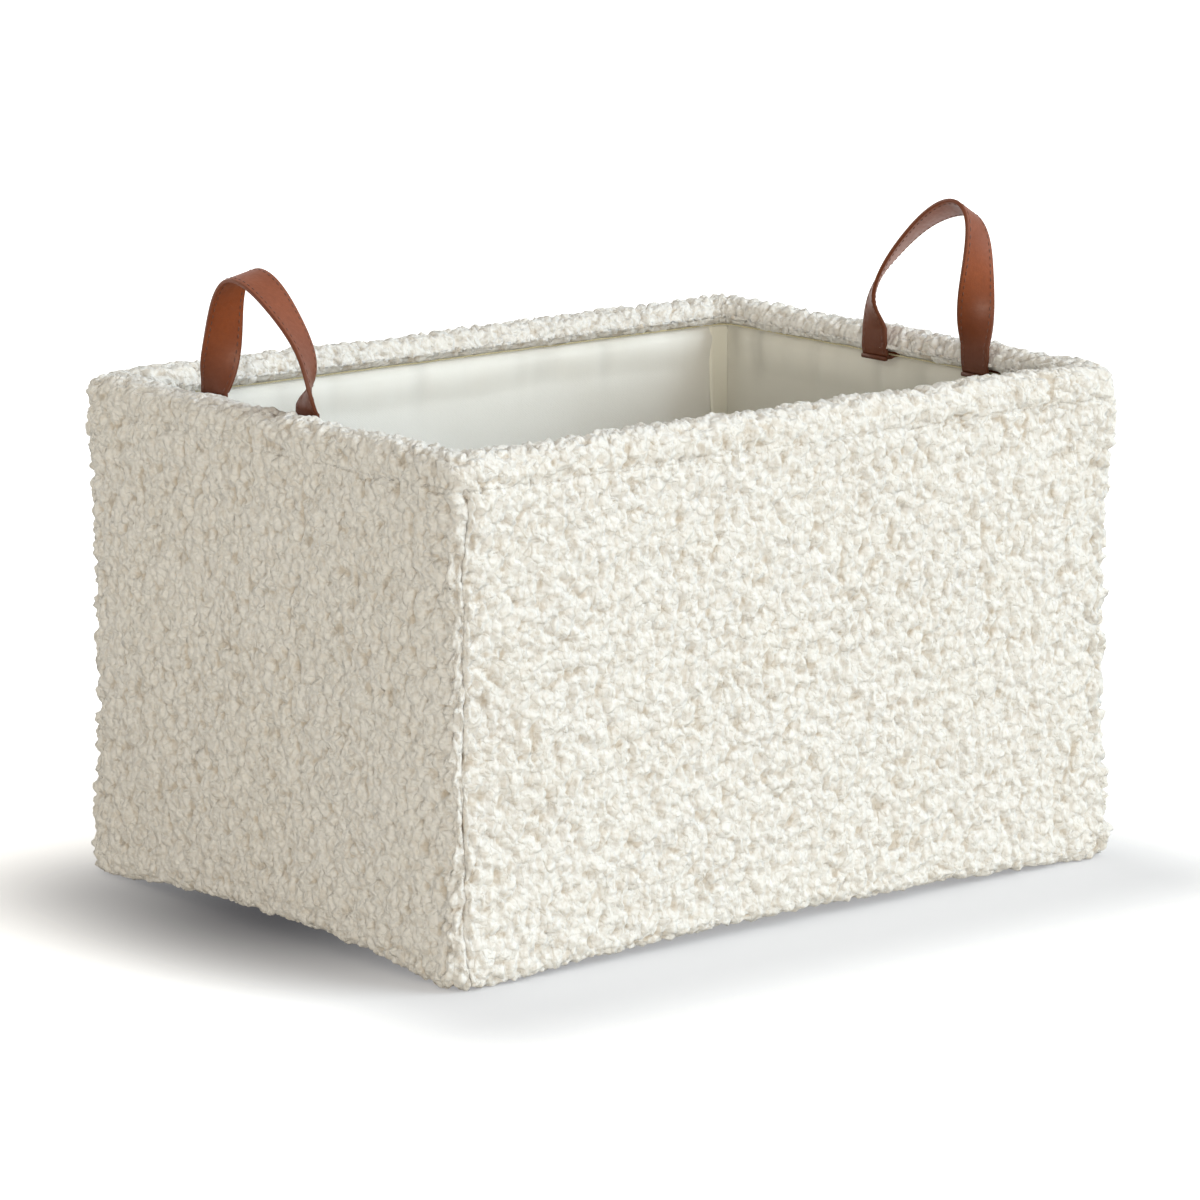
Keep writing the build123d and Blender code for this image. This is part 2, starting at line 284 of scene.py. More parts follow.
# ---- materials ------------------------------------------------------------------------
class Nodes:
    """A material's node tree with short calls to add nodes and links."""

    def __init__(self, name):
        self.material = bpy.data.materials.new(name)
        self.material.use_nodes = True
        self.tree = self.material.node_tree
        self.shader = self.tree.nodes["Principled BSDF"]
        self.place = self.add("ShaderNodeTexCoord").outputs["Object"]

    def add(self, kind, **settings):
        node = self.tree.nodes.new(kind)
        for key, value in settings.items():
            setattr(node, key, value)
        return node

    def link(self, a, b):
        self.tree.links.new(a, b)

    def set(self, **values):
        for key, value in values.items():
            self.shader.inputs[key.replace("_", " ")].default_value = value

    def value(self, name):
        return self.add("ShaderNodeAttribute", attribute_name=name).outputs["Fac"]

    def noise(self, scale, detail=2.0, rough=0.5):
        node = self.add("ShaderNodeTexNoise")
        for key, number in (("Scale", scale), ("Detail", detail), ("Roughness", rough)):
            node.inputs[key].default_value = number
        self.link(self.place, node.inputs["Vector"])
        return node.outputs["Fac"]

    def voronoi(self, scale, feature="F1", place=None):
        node = self.add("ShaderNodeTexVoronoi", feature=feature)
        node.inputs["Scale"].default_value = scale
        self.link(place or self.place, node.inputs["Vector"])
        return node.outputs["Distance"]

    def vector(self, operation, a, *constants):
        """A vector sum of a and up to two more values, each a tuple or a socket."""
        node = self.add("ShaderNodeVectorMath", operation=operation)
        for k, value in enumerate((a, *constants)):
            if isinstance(value, tuple):
                node.inputs[k].default_value = value
            else:
                self.link(value, node.inputs[k])
        return node.outputs["Value" if operation == "LENGTH" else "Vector"]

    def smooth_span(self, value, high):
        """A smooth step from 0 to 1 as value goes from 0 to high."""
        node = self.add("ShaderNodeMapRange", interpolation_type="SMOOTHSTEP")
        node.inputs["From Max"].default_value = high
        self.link(value, node.inputs["Value"])
        return node.outputs["Result"]

    def math(self, operation, a, b=0.0, c=0.0):
        node = self.add("ShaderNodeMath", operation=operation)
        for k, value in enumerate((a, b, c)):
            if isinstance(value, (int, float)):
                node.inputs[k].default_value = value
            else:
                self.link(value, node.inputs[k])
        return node.outputs[0]

    def span(self, value, low, high, to_low=0.0, to_high=1.0):
        node = self.add("ShaderNodeMapRange")
        for key, number in (("From Min", low), ("From Max", high), ("To Min", to_low), ("To Max", to_high)):
            node.inputs[key].default_value = number
        self.link(value, node.inputs["Value"])
        return node.outputs["Result"]

    def mix(self, share, a, b, blend="MIX"):
        node = self.add("ShaderNodeMix", data_type="RGBA", blend_type=blend)
        for k, value in ((0, share), (6, a), (7, b)):
            if isinstance(value, (int, float)):
                node.inputs[k].default_value = value
            elif isinstance(value, tuple):
                node.inputs[k].default_value = (*value, 1.0)
            else:
                self.link(value, node.inputs[k])
        return node.outputs[2]

    def bump(self, height, distance, strength=1.0):
        node = self.add("ShaderNodeBump")
        node.inputs["Distance"].default_value = distance
        node.inputs["Strength"].default_value = strength
        self.link(height, node.inputs["Height"])
        return node.outputs["Normal"]

    def finish(self, colour, normal=None, rough=None):
        self.link(colour, self.shader.inputs["Base Color"])
        if normal is not None:
            self.link(normal, self.shader.inputs["Normal"])
        if rough is not None:
            self.link(rough, self.shader.inputs["Roughness"])
        return self.material


def fleece_material(name, bright, warm):
    """Curls stirred out of line, with thin warm lines between some and warm gaps, both painted shade."""
    n = Nodes(name)
    stir = n.add("ShaderNodeTexNoise")
    stir.inputs["Scale"].default_value = 170.0
    stir.inputs["Detail"].default_value = 2.0
    n.link(n.place, stir.inputs["Vector"])
    centred = n.vector("SUBTRACT", stir.outputs["Color"], (0.5, 0.5, 0.5))
    place = n.vector("MULTIPLY_ADD", centred, (0.007, 0.007, 0.007), n.place)
    tufts = n.voronoi(270.0, "F1", place)
    edges = n.voronoi(250.0, "DISTANCE_TO_EDGE", place)
    locks = n.add("ShaderNodeTexNoise", noise_type="RIDGED_MULTIFRACTAL")
    for key, value in (("Scale", 330.0), ("Detail", 3.0), ("Roughness", 0.6), ("Lacunarity", 2.1)):
        locks.inputs[key].default_value = value
    n.link(place, locks.inputs["Vector"])
    fine = n.noise(1300.0, 2.0, 0.6)
    where = n.span(n.noise(230.0, 1.0), 0.44, 0.62)
    # painted shade: thin lines between some curls, and the gaps of the pile, take the warm colour; the lines also
    # cut into the bump
    lines = n.math("MULTIPLY", n.span(edges, 0.02, 0.3, 1.0, 0.0), where)
    deep = n.math("MULTIPLY", n.value("gap"), n.span(n.noise(150.0, 2.0), 0.34, 0.6, 0.3, 1.0))
    patches = n.noise(26.0, 2.0)
    duller = tuple(c * k for c, k in zip(bright, (0.985, 0.975, 0.95)))
    colour = n.mix(n.span(patches, 0.3, 0.7, 0.0, 0.5), bright, duller)
    colour = n.mix(n.math("MULTIPLY", lines, 0.26), colour, warm)
    colour = n.mix(n.span(deep, 0.3, 1.0, 0.0, 0.6), colour, warm)
    curls = n.math("MULTIPLY", locks.outputs["Fac"], 0.10)
    height = n.math("MULTIPLY_ADD", n.math("MULTIPLY", tufts, tufts), -1.3, curls)
    height = n.math("ADD", height, n.math("MULTIPLY", fine, 0.07))
    height = n.math("SUBTRACT", height, n.math("MULTIPLY", lines, 0.15))
    normal = n.bump(height, 0.0015, 0.75)
    n.set(Roughness=0.95, Sheen_Weight=0.15, Sheen_Roughness=0.6, Specular_IOR_Level=0.05)
    n.set(Subsurface_Weight=0.2, Subsurface_Scale=0.002, Subsurface_Radius=(1.0, 0.95, 0.85))
    return n.finish(colour, normal)


def weave(n, scale):
    """Plain weave over a flat cloth, from its distances across and along."""
    across, up = n.value("across"), n.value("up")
    warp = n.math("SINE", n.math("MULTIPLY", across, 2 * math.pi / scale))
    weft = n.math("SINE", n.math("MULTIPLY", up, 2 * math.pi / scale))
    return n.math("MULTIPLY", n.math("MULTIPLY", warp, weft), 0.5)


def cotton_material(name, colour, shade, scale):
    n = Nodes(name)
    threads = weave(n, scale)
    slubs = n.noise(900.0, 2.0)
    patches = n.noise(18.0, 3.0)
    tint = n.mix(n.span(patches, 0.3, 0.7, 0.0, 0.5), colour, shade)
    tint = n.mix(n.span(threads, -0.5, 0.5, 0.12, 0.0), tint, shade)
    # painted shade: the cloth darkens in the hollows of its gathers and below its fullness
    tint = n.mix(n.math("MULTIPLY", n.value("dip"), 0.42), tint, tuple(c * 0.55 for c in shade))
    height = n.math("ADD", threads, n.math("MULTIPLY", slubs, 0.7))
    n.set(Roughness=0.85, Sheen_Weight=0.1, Specular_IOR_Level=0.2)
    return n.finish(tint, n.bump(height, 0.0002, 0.7))


def leather_material():
    n = Nodes("strap_leather")
    pores = n.voronoi(1100.0)
    grain = n.noise(420.0, 4.0, 0.6)
    wear = n.noise(30.0, 3.0)
    rim = n.value("rim")
    colour = n.mix(n.span(wear, 0.35, 0.7), (0.205, 0.047, 0.013), (0.26, 0.065, 0.019))
    colour = n.mix(n.span(grain, 0.35, 0.65, 0.0, 0.3), colour, (0.14, 0.036, 0.013))
    # painted shade: the leather darkens toward the feet of the straps and over the sewn ends
    colour = n.mix(n.span(n.value("low"), 0.0, 1.0, 0.0, 0.7), colour, (0.065, 0.017, 0.005))
    colour = n.mix(n.math("MULTIPLY", rim, 0.55), colour, (0.10, 0.030, 0.014))
    height = n.math("ADD", n.math("MULTIPLY", pores, 0.5), grain)
    n.set(Specular_IOR_Level=0.28)
    return n.finish(colour, n.bump(height, 0.0002, 0.35), n.span(grain, 0.3, 0.7, 0.38, 0.5))


def thread_material(name, colour):
    n = Nodes(name)
    twist = n.noise(1500.0, 2.0)
    shade = tuple(c * 0.6 for c in colour)
    return n.finish(n.mix(n.span(twist, 0.35, 0.65, 0.0, 0.6), colour, shade), n.bump(twist, 0.0003))


def board_material():
    n = Nodes("grey_board")
    fibres = n.noise(350.0, 4.0, 0.7)
    flecks = n.noise(90.0, 2.0)
    colour = n.mix(n.span(flecks, 0.35, 0.65), (0.34, 0.29, 0.22), (0.42, 0.37, 0.29))
    colour = n.mix(n.span(fibres, 0.4, 0.6, 0.0, 0.4), colour, (0.22, 0.18, 0.13))
    n.set(Roughness=0.9)
    return n.finish(colour, n.bump(fibres, 0.0002))


def wear(piece, material):
    """Give a piece one material."""
    piece.data.materials.clear()
    piece.data.materials.append(material)


# the second colour is the painted shade of the gaps and of the lines between curls
fleece = fleece_material("sherpa", (0.785, 0.772, 0.755), (0.46, 0.365, 0.255))
lining_cloth = cotton_material("lining_cotton", (0.93, 0.925, 0.90), (0.86, 0.85, 0.81), 0.9)
# painted shade: the short walls' lining is the same cloth, given a darker, warmer colour
painted_shade_short_cloth = cotton_material("lining_cotton_short_walls_painted_shade", (0.84, 0.82, 0.76), (0.78, 0.755, 0.68), 0.9)
tape_cloth = cotton_material("tape_cotton", (0.96, 0.945, 0.86), (0.89, 0.865, 0.75), 0.7)
leather = leather_material()
leather_thread = thread_material("strap_thread", (0.12, 0.035, 0.015))
seam_thread = thread_material("seam_thread", (0.74, 0.67, 0.44))
grey_board = board_material()

STEP = 1.06  # spacing of the points on the fleece


# ---- fleece walls -------------------------------------------------------------------
LONG_LIFT, SHORT_LIFT = 5.0, 8.0  # how far the middle of a wall's lower edge stands off the floor


def hem_lift(s):
    """How far the lower edge rises off the floor at distance s: the walls bow up between the corners."""
    lift = np.zeros_like(s)
    start = 0.0
    for run, high in ((LONG, LONG_LIFT), (SHORT, SHORT_LIFT)) * 2:
        t = np.clip((np.mod(s, AROUND) - start) / run, 0, 1)
        lift = np.maximum(lift, high * (1 - (2 * t - 1) ** 2))
        start += run + ARC
    return lift * ease(to_corner(s) / 60.0)


def waist(s, z):
    """How far the corners draw in between the band and the hem, the front left one the most."""
    near = 3.6 * bell(to_corner(s), 26.0)
    from_left = np.mod(s - corner_middles()[3] + AROUND / 2, AROUND) - AROUND / 2
    near = near + (5.0 - 0.012 * z) * bell(from_left - 4.0, np.where(from_left > 4, 44.0, 24.0))
    return near * np.sin(math.pi * np.clip((z - 8) / 222.0, 0, 1)) ** 0.8


BACK_DRAWN = 2.5  # the back of the fleece draws in no further, or it would meet the boards


def lay_fleece(s, profile, normal, height):
    """Points on the fleece at distances s round the bin, profile (offset, height) and outward normals."""
    offset = np.broadcast_to(profile[None, :, 0], height.shape)
    z = np.broadcast_to(profile[None, :, 1], height.shape)
    s = s if s.ndim == 2 else s[:, None] * np.ones_like(z)
    place, out = plan(s, offset)
    drawn = waist(s, z)
    at_back = offset >= FLEECE - 0.1
    side = normal[None, :, 0] * height - np.where(at_back, np.minimum(drawn, BACK_DRAWN), drawn)
    lift = hem_lift(s) * np.clip(1 - z / 150.0, 0, 1) ** 2
    points = np.empty(height.shape + (3,))
    points[..., :2] = place + out * side[..., None]
    points[..., 2] = z + lift + normal[None, :, 1] * height
    return points


def normals_of(profile):
    """Outward normals of a (offset, height) profile that runs from the underside up the outside."""
    ahead = units(np.gradient(profile, axis=0))
    return np.stack([ahead[:, 1], ahead[:, 0]], axis=1)


def skin(name, s, front, gap, back_profile, closed=False):
    """A closed piece of fleece, from its pile in front to a plain back along three points."""
    back = lay_fleece(s, np.array(back_profile), np.zeros((3, 2)), np.zeros((len(s), 3)))
    gaps = np.concatenate([gap, np.zeros((len(s), 3))], axis=1)
    piece = swept(name, np.concatenate([front, back], axis=1), closed, gap=gaps)
    wear(piece, fleece)
    return piece


SHARED = 400.0  # the pile's own height at the topstitch, so that it runs on from panel to band
# The edge that turns in at the topstitch, as (offset, height past it), and its length.
TURN = ((0.0, -1.8), (0.4, -0.2), (2.4, 1.8), (4.2, 4.0))
TURN_LENGTH = 5.4
STITCH_REACH, STITCH_SHADE_REACH = 3.4, 2.0  # how far from the topstitch the pile is pulled in, and how far the painted shade where it parts reaches


def topstitch(s):
    """How deep the stitching pulls the pile in, which hides it in places."""
    return 0.1 + 0.9 * ease(0.3 + 0.9 * noise(s, s * 0, 17.0, 880))


def wall_panel(name, s0, s1):
    """One fleece wall, from seam to seam, with its lower edge rolled under."""
    hem = 7.0
    outline = [(FLEECE, 0.6), (hem, 0.0)] + arc(hem, hem, hem, 270, 180)
    outline += [(offset, BAND_BOTTOM + past) for offset, past in TURN]
    profile, v = along(outline, STEP)
    s = np.linspace(s0, s1, int(round((s1 - s0) / STEP)) + 1)
    top = v[-1] - TURN_LENGTH - v
    height, gap = pile(*np.meshgrid(s, SHARED - top, indexing="ij"), WALL_PILE)
    from_start, from_end = (s - s0)[:, None], (s1 - s)[:, None]
    edge = np.minimum(from_start, from_end)
    z = np.broadcast_to(profile[None, :, 1], height.shape)
    # the pile sinks into both seams and stands taller beside them, most of all before the end one
    fade = ease((edge + 1.2 * noise(z, edge, 5.0, 870)) / 3.0)
    sunk = 0.55 + 0.45 * noise(z, z * 0, 8.0, 871)
    seam = -(0.3 + 1.4 * sunk) * bell(from_start, 1.2 + 1.4 * sunk)
    seam -= 1.1 * bell(from_end, 1.2)
    height = height * (1 + 0.8 * bell(from_end - 9.0, 9.0) + 0.3 * bell(from_start - 6.0, 6.0))
    ridge = 2.0 * bell(from_end - 7.0 + 1.5 * noise(z, z * 0, 7.0, 872), 4.5)
    ridge *= 0.5 + 0.7 * noise(z, from_end, 6.5, 873)
    height = height * (0.75 + 0.25 * fade) + seam + ridge * ease(top / 6.0)
    stitch = topstitch(s)[:, None]
    height -= stitch * bell(top, STITCH_REACH)[None, :]
    height *= ease((v + 2.0) / 8.0)[None, :]
    # painted shade: the pile darkens in the seam grooves and where the topstitch parts it
    gap = np.clip(gap + 0.35 * sunk * bell(from_start, 2.0) + 0.15 * bell(from_end, 1.2)
                  + 0.25 * stitch * bell(top, STITCH_SHADE_REACH)[None, :], 0, 1)
    sway = 2.2 * noise(z, z * 0, 15.0, 874) + 1.1 * noise(z, z * 0, 5.5, 875)
    front = lay_fleece(s[:, None] + sway * bell(edge, 7.0), profile, normals_of(profile), height)
    front[..., 2] = np.maximum(front[..., 2], 0.15)
    piece = skin(name + "_fleece", s, front, gap, [(FLEECE, BAND_BOTTOM - 1.0), (FLEECE, 120.0), (FLEECE, 12.0)])
    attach(piece, "bin")
    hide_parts(name)


SEAM_CLEARANCE = 0.1
seams = [middle + SEAM_SHIFT for middle in corner_middles()]
for name, start, end in (("outer_front", seams[3] - AROUND, seams[0]), ("outer_right", seams[0], seams[1]),
                         ("outer_back", seams[1], seams[2]), ("outer_left", seams[2], seams[3])):
    wall_panel(name, start + SEAM_CLEARANCE, end - SEAM_CLEARANCE)


# ---- rim band -----------------------------------------------------------------------
def rim_band():
    """One fleece strip folded over the rim, with its topstitched lower edge outside and the cuff inside."""
    outline = [(offset, BAND_BOTTOM - past) for offset, past in reversed(TURN)] + [(0.0, HEIGHT - CROWN)]
    outline += arc(CROWN, HEIGHT - CROWN, CROWN, 180, 90) + arc(CUFF_FACE - CROWN, HEIGHT - CROWN, CROWN, 90, 0)
    for back, up in ((0.0, 5.5), (0.7, 3.6), (2.2, 1.8), (4.4, 0.6)):
        outline.append((CUFF_FACE - back, CUFF_BOTTOM + up))
    outline.append((CUFF_OFFSET + 0.4, CUFF_BOTTOM + 0.2))
    profile, v = along(outline, STEP * 0.96)
    count = int(round(AROUND / (STEP * 1.02)))
    s = np.arange(count) * AROUND / count
    v -= TURN_LENGTH
    height, gap = pile(*np.meshgrid(s, v + SHARED, indexing="ij"), WALL_PILE)
    inner_end = v[-1] - v
    stitch = topstitch(s)[:, None]
    height *= ease((inner_end + 1.0) / 9.0)[None, :]
    height -= stitch * bell(v, STITCH_REACH)[None, :]
    # painted shade: the pile darkens where the topstitch parts it and at the cuff's inner edge, under its turn
    gap = np.clip(gap + 0.25 * stitch * bell(v, STITCH_SHADE_REACH)[None, :] + 0.5 * bell(inner_end, 5.0)[None, :], 0, 1)
    # the feet of the straps press the pile of the cuff flat
    pressed = -1.5
    place, _ = plan(s, np.full_like(s, CUFF_FACE))
    inside = ease((profile[:, 0] - 13.0) / 6.0)
    for sign in SIDES.values():
        on_wall = (np.sign(place[:, 0]) == sign) & (np.abs(place[:, 1]) < WIDTH / 2 - CUFF_FACE - 4)
        for foot in (-0.5, 0.5):
            y = -sign * HANDLE_SHIFT + foot * FEET_SPACING
            under = ease((STRAP_WIDTH / 2 + 2.2 - np.abs(place[:, 1] - y)) / 3.2) * on_wall
            press = under[:, None] * inside[None, :]
            height = height * (1 - press) + np.minimum(height, pressed) * press
    front = lay_fleece(s, profile, normals_of(profile), height)
    back_profile = [(CUFF_OFFSET, BOARD_TOP), (FLEECE, BOARD_TOP), (FLEECE, BAND_BOTTOM + 0.6)]
    piece = skin("rim_fleece", s, front, gap, back_profile, closed=True)
    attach(piece, "bin")
    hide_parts("rim_band")


rim_band()


# ---- fleece under the base ------------------------------------------------------------
def base_fleece():
    """The fleece panel under the bin, flattened by the load."""
    x, y = LENGTH / 2 - FLEECE - 0.4, WIDTH / 2 - FLEECE - 0.4
    step = STEP * 1.7
    across = np.linspace(-y, y, int(2 * y / step))
    lengths = np.linspace(-x, x, int(2 * x / step))
    gx, gy = np.meshgrid(lengths, across, indexing="ij")
    height, gap = pile(gx, gy, BASE_PILE)
    to_x, to_y = x - np.abs(gx), y - np.abs(gy)
    down = np.clip(2.6 - 0.7 * height, 0.6, 4.0) + 1.6 * bell(np.minimum(to_x, to_y), 5.0)
    # its edges rise a little with the hems of the walls
    bow = LONG_LIFT * (1 - (gx / x) ** 2) * bell(to_y, 25.0)
    bow = np.maximum(bow, LONG_LIFT * (1 - (gy / y) ** 2) * bell(to_x, 25.0))
    under = np.stack([gx, gy, np.minimum(down + bow, 6.2)], axis=-1)
    above = np.empty((len(lengths), 2, 3))
    above[..., 0] = lengths[:, None]
    above[:, 0, 1], above[:, 1, 1] = y, -y
    above[..., 2] = 6.8
    gaps = np.concatenate([gap, np.zeros((len(lengths), 2))], axis=1)
    piece = swept("base_fleece", np.concatenate([under, above], axis=1), gap=gaps)
    wear(piece, fleece)
    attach(piece, "bin")
    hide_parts("outer_base")


base_fleece()


# ---- lining -----------------------------------------------------------------------------
SEAM_Z = CUFF_BOTTOM - 0.2
LINING_TOP = 242.5
FLAP = 9.0  # how far a short wall's lining turns in along the long walls


def lining_swell(t, z, run, key):
    """How far the lining stands in from its flat place, and how much painted shade a point gets in a fold.

    A short wall's lining is gathered more and gets more painted shade below its fullness.
    """
    depth, shade = (0.35, 0.05) if run > WIDTH else (1.0, 0.35)
    below = SEAM_Z - z
    full = 4.6 * ease((below + 5.0) / 12.0)
    full = full * (1 - 0.6 * ease((below - 8.0 - 2.5 * noise(t, t * 0, 24.0, key + 4)) / 15.0))
    gathers = noise(t, t * 0 + 3.0, 11.0, key) * 1.5 + noise(t, t * 0 + 7.0, 5.5, key + 1) * 0.6
    gathers = depth * gathers * bell(below - 9.0, 15.0)
    slack = 0.9 * noise(t, z, 70.0, key + 2) + 0.5 * noise(t + 0.6 * z, z * 0.4, 30.0, key + 3)
    slack = (slack + 1.0) * ease(below / 30.0) * ease((z - BASE_LINING) / 18.0)
    ends = ease((run / 2 - np.abs(t)) / 22.0)
    shade_below_fullness = ease((below - 14.0 - 4.0 * noise(t, t * 0, 31.0, key + 5)) / 10.0)
    swell = np.clip((full + gathers + slack) * (below > 0), 0, None) * (0.15 + 0.85 * ends)
    # the second value is painted shade for the cloth: darker in the hollows of the gathers and below the fullness
    return swell, 0.75 * np.clip(-gathers, 0, 1) + shade * shade_below_fullness


def lining_sheet(name, sign, long_wall, key):
    """The lining of one wall. A short wall's lining turns in along the long walls at both edges."""
    run, depth = (LENGTH, WIDTH) if long_wall else (WIDTH, LENGTH)
    half = run / 2 - LINING_OFFSET - LINING - 0.4
    face = depth / 2 - LINING_OFFSET - LINING
    t = np.linspace(-half, half, int(2 * half / (STEP * 2.4)))
    puckered = SEAM_Z - 30
    z = np.concatenate([np.linspace(LINING_TOP, SEAM_Z, 3)[:-1], np.linspace(SEAM_Z, puckered, 28)[:-1],
                        np.linspace(puckered, BASE_LINING + 1.2, 46)])
    swell, dip = lining_swell(t[:, None], z[None, :], 2 * half, key)
    dip = np.concatenate([dip, dip[:, ::-1]], axis=1)
    thick = 0.7

    def section(inner_t, outer_t, inner_face, outer_face):
        inner = np.stack([np.full_like(z, inner_t), inner_face, z], axis=1)
        outer = np.stack([np.full_like(z, outer_t), outer_face, z], axis=1)[::-1]
        return np.concatenate([inner, outer])

    sections = [section(t[k], t[k], face - swell[k], face - swell[k] + thick) for k in range(len(t))]
    if not long_wall:
        flaps = []
        for side, reaches in ((-1, np.linspace(FLAP, 0.0, 5)), (1, np.linspace(0.0, FLAP, 5))):
            for reach in reaches:
                # cut back to nothing under the cuff, and short over the base tape
                flat = np.where(z < 25.0, face - 0.2 - reach * 0.2, face - 0.2 - reach)
                flat = np.where(z > 238, face - 0.2, flat)
                flaps.append(section(side * (half - 0.9), side * (half - 0.3), flat, flat))
        sections = flaps[:5] + sections + flaps[5:]
        dip = np.concatenate([np.repeat(dip[:1], 5, axis=0), dip, np.repeat(dip[-1:], 5, axis=0)])
    sections = np.array(sections)
    middle_row = 30
    across = distances(sections[:, middle_row, :2])[:, None] * np.ones(sections.shape[1])
    points = sections * (1, sign, 1) if long_wall else sections[..., [1, 0, 2]] * (sign, 1, 1)
    piece = swept(name, points, across=across, up=sections[..., 2], dip=dip)
    wear(piece, lining_cloth if long_wall else painted_shade_short_cloth)
    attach(piece, "bin")
    return piece, 2 * half + (0 if long_wall else 2 * FLAP)


for name, sign, long_wall, key in (("lining_front", -1, True, 500), ("lining_back", 1, True, 520),
                                   ("lining_left", -1, False, 540), ("lining_right", 1, False, 560)):
    sheet, run = lining_sheet(name + "_cloth", sign, long_wall, key)
    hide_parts(name)


def base_lining():
    """The lining of the base, whose edges stand up in the base tape."""
    inset = LINING_OFFSET + LINING + 0.3 + 0.6
    x, y = LENGTH / 2 - inset, WIDTH / 2 - inset
    stand, thick, edge_thick = 9.0, 0.6, 0.55

    def line(half, count):
        """Places along one direction, and how far each stands up at the two edges."""
        up = np.linspace(stand, 0.5, 6)
        return (np.concatenate([np.full(6, -half), np.linspace(-half, half, count), np.full(6, half)]),
                np.concatenate([up, np.zeros(count), up[::-1]]))

    (u, rise_u), (w, rise_w) = line(x, 150), line(y, 110)
    gx, gy = np.meshgrid(u, w, indexing="ij")
    rise = np.maximum(rise_u[:, None], rise_w[None, :])
    slack = 0.6 * (noise(gx, gy, 90.0, 600) + 1) + 0.35 * (noise(gx + 0.5 * gy, gy * 0.5, 34.0, 601) + 1)
    slack *= ease(np.minimum(x - np.abs(gx), y - np.abs(gy)) / 25.0)
    z = BASE_LINING + 0.7 + rise + slack
    top = np.stack([gx, gy, z], axis=-1)
    side = np.where(rise > 0, edge_thick, 0.0)
    bottom = np.stack([gx + side * np.sign(gx) * (np.abs(gx) >= x - 1e-6),
                       gy + side * np.sign(gy) * (np.abs(gy) >= y - 1e-6),
                       np.where(rise > 0, z, z - thick)], axis=-1)
    sections = np.concatenate([top, bottom[:, ::-1]], axis=1)[::-1]
    piece = swept("lining_base_cloth", sections, across=sections[..., 0], up=sections[..., 1])
    wear(piece, lining_cloth)
    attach(piece, "bin")
    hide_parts("lining_base")


base_lining()


# ---- binding tapes ------------------------------------------------------------------------
def rounded(width, thickness, radius, steps):
    """A closed outline of a bar with rounded edges, centred, going anticlockwise."""
    points = []
    for cx, cy, start in ((1, 1, 0), (-1, 1, 90), (-1, -1, 180), (1, -1, 270)):
        points += arc(cx * (width / 2 - radius), cy * (thickness / 2 - radius), radius, start, start + 90, steps)
    return np.array(points)


def folded(width, thickness, cloth, step):
    """The closed outline of a tape folded in two, its fold at the far end of width and its open end at 0."""
    outer, inner = thickness / 2, thickness / 2 - cloth
    centre = width - outer
    points = [(0.0, -outer)] + arc(centre, 0.0, outer, -90, 90, 9) + [(0.0, outer), (0.0, inner)]
    points += arc(centre, 0.0, inner, 90, -90, 9) + [(0.0, -inner), (0.0, -outer)]
    points, at = along(points, step)
    return points[:-1], at[:-1]


TAPE_CLOTH = 0.5


def corner_tape(name, sign_x, sign_y):
    """A tape folded over the seam in a corner. It lies along the long wall and stands off a little lower down."""
    corner_x = LENGTH / 2 - LINING_OFFSET - LINING - 0.3
    wall_y = WIDTH / 2 - LINING_OFFSET - LINING - 0.3
    outline, around = folded(12.6, 2.1, TAPE_CLOTH, 0.7)
    z = np.linspace(24.2, 238.0, 90)
    sections = []
    along_wall, off_wall = outline[:, 0], outline[:, 1] + 1.1
    leans = 2.0 + 8.0 * ease((236.0 - z) / 50.0) * ease((z - 24) / 60.0)
    leans = np.radians(leans + 1.2 * noise(z, z * 0, 30.0, 640))
    for level, lean in zip(z, leans):
        a = along_wall * math.cos(lean) - off_wall * math.sin(lean)
        b = along_wall * math.sin(lean) + off_wall * math.cos(lean)
        sections.append(np.stack([sign_x * (corner_x - a), sign_y * (wall_y - b), np.full_like(a, level)], axis=1))
    sections = np.array(sections)
    if sign_x * sign_y > 0:
        sections = sections[:, ::-1]
    across = np.broadcast_to(around, sections.shape[:2])
    piece = swept(name + "_cloth", sections, across=across, up=sections[..., 2])
    wear(piece, tape_cloth)
    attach(piece, "bin")
    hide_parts(name)


for name_y, sign_y in (("front", -1), ("back", 1)):
    for name_x, sign_x in (("left", -1), ("right", 1)):
        corner_tape(f"corner_tape_{name_y}_{name_x}", sign_x, sign_y)


def base_tape():
    """The tape folded over the upstanding edge of the base lining, all round."""
    inset = LINING_OFFSET + LINING + 0.3 + 1.1
    points = rounded(LENGTH - 2 * inset, WIDTH - 2 * inset, 3.0, 7)
    ring, at = along([*points, points[0]], 3.0)
    ring, at = ring[:-1], at[:-1]
    ahead = units(np.roll(ring, -1, axis=0) - np.roll(ring, 1, axis=0))
    out = np.stack([ahead[:, 1], -ahead[:, 0]], axis=1)
    depth, middle_z = 11.8, 17.75
    outline, _ = folded(depth, 2.1, TAPE_CLOTH, 0.9)
    sway = 0.12 * noise(at, at * 0, 25.0, 660)
    sections = np.empty((len(ring), len(outline), 3))
    sections[..., :2] = ring[:, None] + out[:, None] * (outline[:, 1] + sway[:, None])[..., None]
    sections[..., 2] = middle_z + (outline[:, 0] - depth / 2)
    sections = sections[:, ::-1]
    across = at[:, None] * np.ones(sections.shape[1])
    piece = swept("base_tape_cloth", sections, closed=True, across=across, up=sections[..., 2])
    wear(piece, tape_cloth)
    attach(piece, "bin")
    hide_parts("base_tape")


base_tape()


